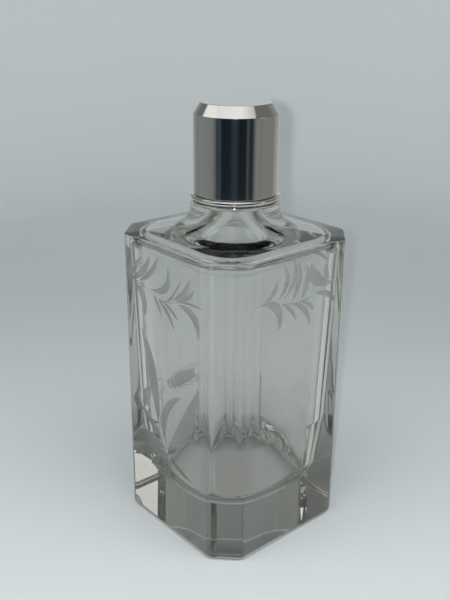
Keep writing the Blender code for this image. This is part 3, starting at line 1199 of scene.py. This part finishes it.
def make_surround(look):
    """Curved card round the decanter that only polished surfaces see."""
    bm = bmesh.new()
    low = bm.verts.new((0, -look.surround_distance, MM))
    high = bm.verts.new((0, -look.surround_distance, card_height(look)))
    edge = bm.edges.new((low, high))
    start = Matrix.Rotation(look.camera_azimuth - look.surround_spread / 2, 3, "Z")
    bmesh.ops.rotate(bm, verts=bm.verts, cent=(0, 0, 0), matrix=start)
    spin_about_axis(bm, [low, high, edge], look.surround_spread, SURROUND_STEPS)
    only_mirrored(stage_piece("surround_card", bm, surround_material(look.camera_azimuth)))


def ceiling_material(look, width):
    """White that fades towards its two ends."""
    finish = Finish("ceiling_white")
    across = finish.parts(finish.place())[0]
    return finish.glow(finish.ramp(across / width + 0.5, greys(CEILING_GREYS)), look.card_glow)


def make_ceiling(look, turn):
    """Card just under the ceiling light that only polished surfaces see."""
    width, depth = (size + 2 * look.card_margin for size in (look.ceiling_width, look.ceiling_depth))
    bm = bmesh.new()
    bmesh.ops.create_grid(bm, x_segments=1, y_segments=1, size=0.5)
    bmesh.ops.scale(bm, vec=(width, depth, 1.0), verts=bm.verts)
    card = stage_piece("ceiling_card", bm, ceiling_material(look, width))
    card.matrix_world = turn @ Matrix.Translation((0, -look.ceiling_ahead, card_height(look)))
    only_mirrored(card)


def make_light(look, turn):
    light = bpy.data.lights.new("ceiling_light", "AREA")
    light.shape = "RECTANGLE"
    light.size = look.ceiling_width
    light.size_y = look.ceiling_depth
    light.energy = look.ceiling_power
    lamp = linked("ceiling_light", light)
    lamp.matrix_world = turn @ Matrix.Translation((0, -look.ceiling_ahead, look.ceiling_height))


def make_flash(look, eye):
    """Small flash beside the lens that lights near and far alike and isn't seen through the glass."""
    light = bpy.data.lights.new("flash", "POINT")
    light.shadow_soft_size = look.flash_radius
    light.energy = look.flash_power
    light.use_nodes = True
    tree = light.node_tree
    falloff = tree.nodes.new("ShaderNodeLightFalloff")
    falloff.inputs["Strength"].default_value = 1.0
    tree.links.new(falloff.outputs["Constant"], tree.nodes["Emission"].inputs["Strength"])
    lamp = linked("flash", light)
    lamp.matrix_world = eye.matrix_world @ Matrix.Translation((-look.flash_offset, look.flash_rise, 0))
    lamp.visible_transmission = False


def make_world(look):
    world = bpy.data.worlds.new("studio")
    world.use_nodes = True
    background = world.node_tree.nodes["Background"]
    background.inputs["Color"].default_value = opaque(look.ambient_tone)
    background.inputs["Strength"].default_value = look.ambient
    bpy.context.scene.world = world


def make_camera(look, turn):
    camera = bpy.data.cameras.new("camera")
    camera.lens = look.focal_length
    camera.clip_start = NEAREST_VIEW
    eye = linked("camera", camera)
    eye.matrix_world = (
        turn
        @ Matrix.Translation((0, -look.camera_distance, look.camera_height))
        @ Matrix.Rotation(-look.camera_pan, 4, "Z")
        @ Matrix.Rotation(math.pi / 2 - look.camera_pitch, 4, "X")
        @ Matrix.Rotation(look.camera_roll, 4, "Z")
    )
    bpy.context.scene.camera = eye
    return eye


class DECANTER_OT_stage(bpy.types.Operator):
    """Set up the floor, the lights and the camera"""

    bl_idname = "decanter.stage"
    bl_label = "Stage"

    def execute(self, context):
        look = stage_settings()
        turn = Matrix.Rotation(look.camera_azimuth, 4, "Z")
        make_backdrop(look)
        make_surround(look)
        make_ceiling(look, turn)
        make_light(look, turn)
        make_world(look)
        make_flash(look, make_camera(look, turn))
        context.scene.view_settings.view_transform = "Standard"
        context.scene.cycles.max_bounces = BOUNCES
        context.scene.cycles.transmission_bounces = BOUNCES
        context.scene.cycles.glossy_bounces = BOUNCES
        return {"FINISHED"}


class DECANTER_PT_pieces(bpy.types.Panel):
    """The decanter's pieces, in the order that they are made"""

    bl_label = "Decanter"
    bl_space_type = "VIEW_3D"
    bl_region_type = "UI"
    bl_category = "Decanter"

    def draw(self, context):
        for operator in OPERATORS:
            self.layout.operator(operator.bl_idname)
        for name, group in SETTINGS.items():
            box = self.layout.box()
            box.label(text=group.__doc__)
            for field in group.__annotations__:
                box.prop(getattr(context.scene, name), field)


OPERATORS = [
    DECANTER_OT_stage, DECANTER_OT_bottle, DECANTER_OT_collar, DECANTER_OT_stopper, DECANTER_OT_cap
]
SETTINGS = {
    "decanter_bottle": BottleSettings,
    "decanter_engraving": EngravingSettings,
    "decanter_metal": MetalSettings,
    "decanter_stopper": StopperSettings,
    "decanter_stage": StageSettings,
}


def register():
    for kind in [*SETTINGS.values(), *OPERATORS, DECANTER_PT_pieces]:
        bpy.utils.register_class(kind)
    for name, group in SETTINGS.items():
        setattr(bpy.types.Scene, name, PointerProperty(type=group))


def unregister():
    for name in SETTINGS:
        delattr(bpy.types.Scene, name)
    for kind in reversed([*SETTINGS.values(), *OPERATORS, DECANTER_PT_pieces]):
        bpy.utils.unregister_class(kind)


def main():
    register()
    bpy.ops.decanter.stage()
    bpy.ops.decanter.bottle()
    bpy.ops.decanter.collar()
    bpy.ops.decanter.stopper()
    bpy.ops.decanter.cap()


if __name__ == "__main__":
    main()
